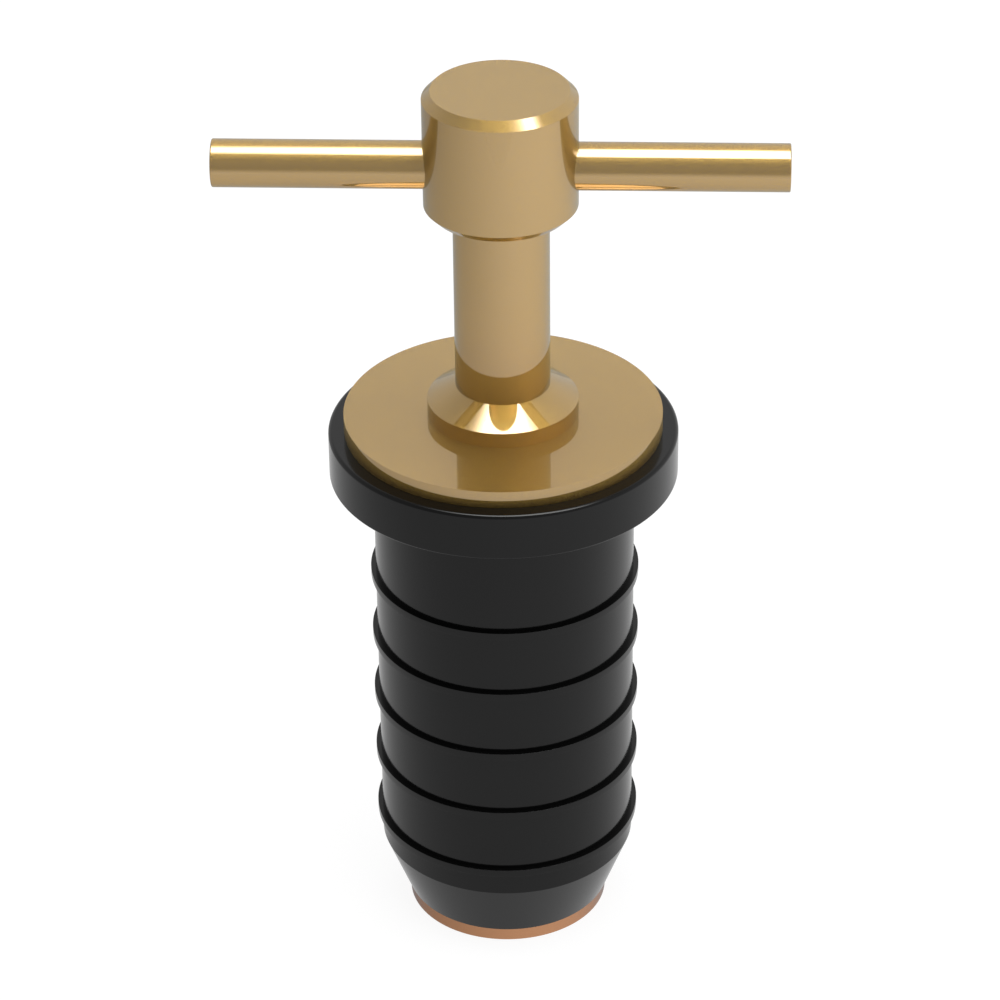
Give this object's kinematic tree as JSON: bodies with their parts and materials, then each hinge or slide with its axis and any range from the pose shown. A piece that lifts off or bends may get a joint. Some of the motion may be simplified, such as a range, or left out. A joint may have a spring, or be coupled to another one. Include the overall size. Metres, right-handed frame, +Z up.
{
  "type": "expanding boat drain plug with t-handle",
  "caption": "Ribbed rubber drain plug that widens as its brass T-handle screw draws a bottom nut upwards.",
  "frame": {"origin": "on the plug's axis, in the plane of the bottom nut's underside that it stands on", "axes": "+Z up the spindle to the handle; +X along the handle's crossbar"},
  "size_m": [0.0512, 0.032, 0.0857],
  "materials": {
    "brass": "polished, with fine turning marks",
    "rubber": "moulded, satin",
    "copper": "copper-coloured, satin"
  },
  "bodies": {
    "plug": {"rubber_plug": "rubber", "thrust_washer": "brass"},
    "handle": {"spindle": "brass", "handle_bar": "brass"},
    "nut": {"bottom_nut": "copper"}
  },
  "joints": [
    {"name": "handle_turn", "type": "hinge", "parent": "plug", "child": "handle", "pos_m": [0, 0, 0.05346], "axis": [0, 0, 1], "range_deg": [-1440, 0]},
    {"name": "nut_draw", "type": "slide", "parent": "plug", "child": "nut", "axis": [0, 0, 1], "range_m": [0, 0.004], "deforming": ["rubber_plug"]}
  ],
  "couplings": [
    {"joint": "nut_draw", "follows": "handle_turn", "m_per_rad": -0.00015915}
  ]
}
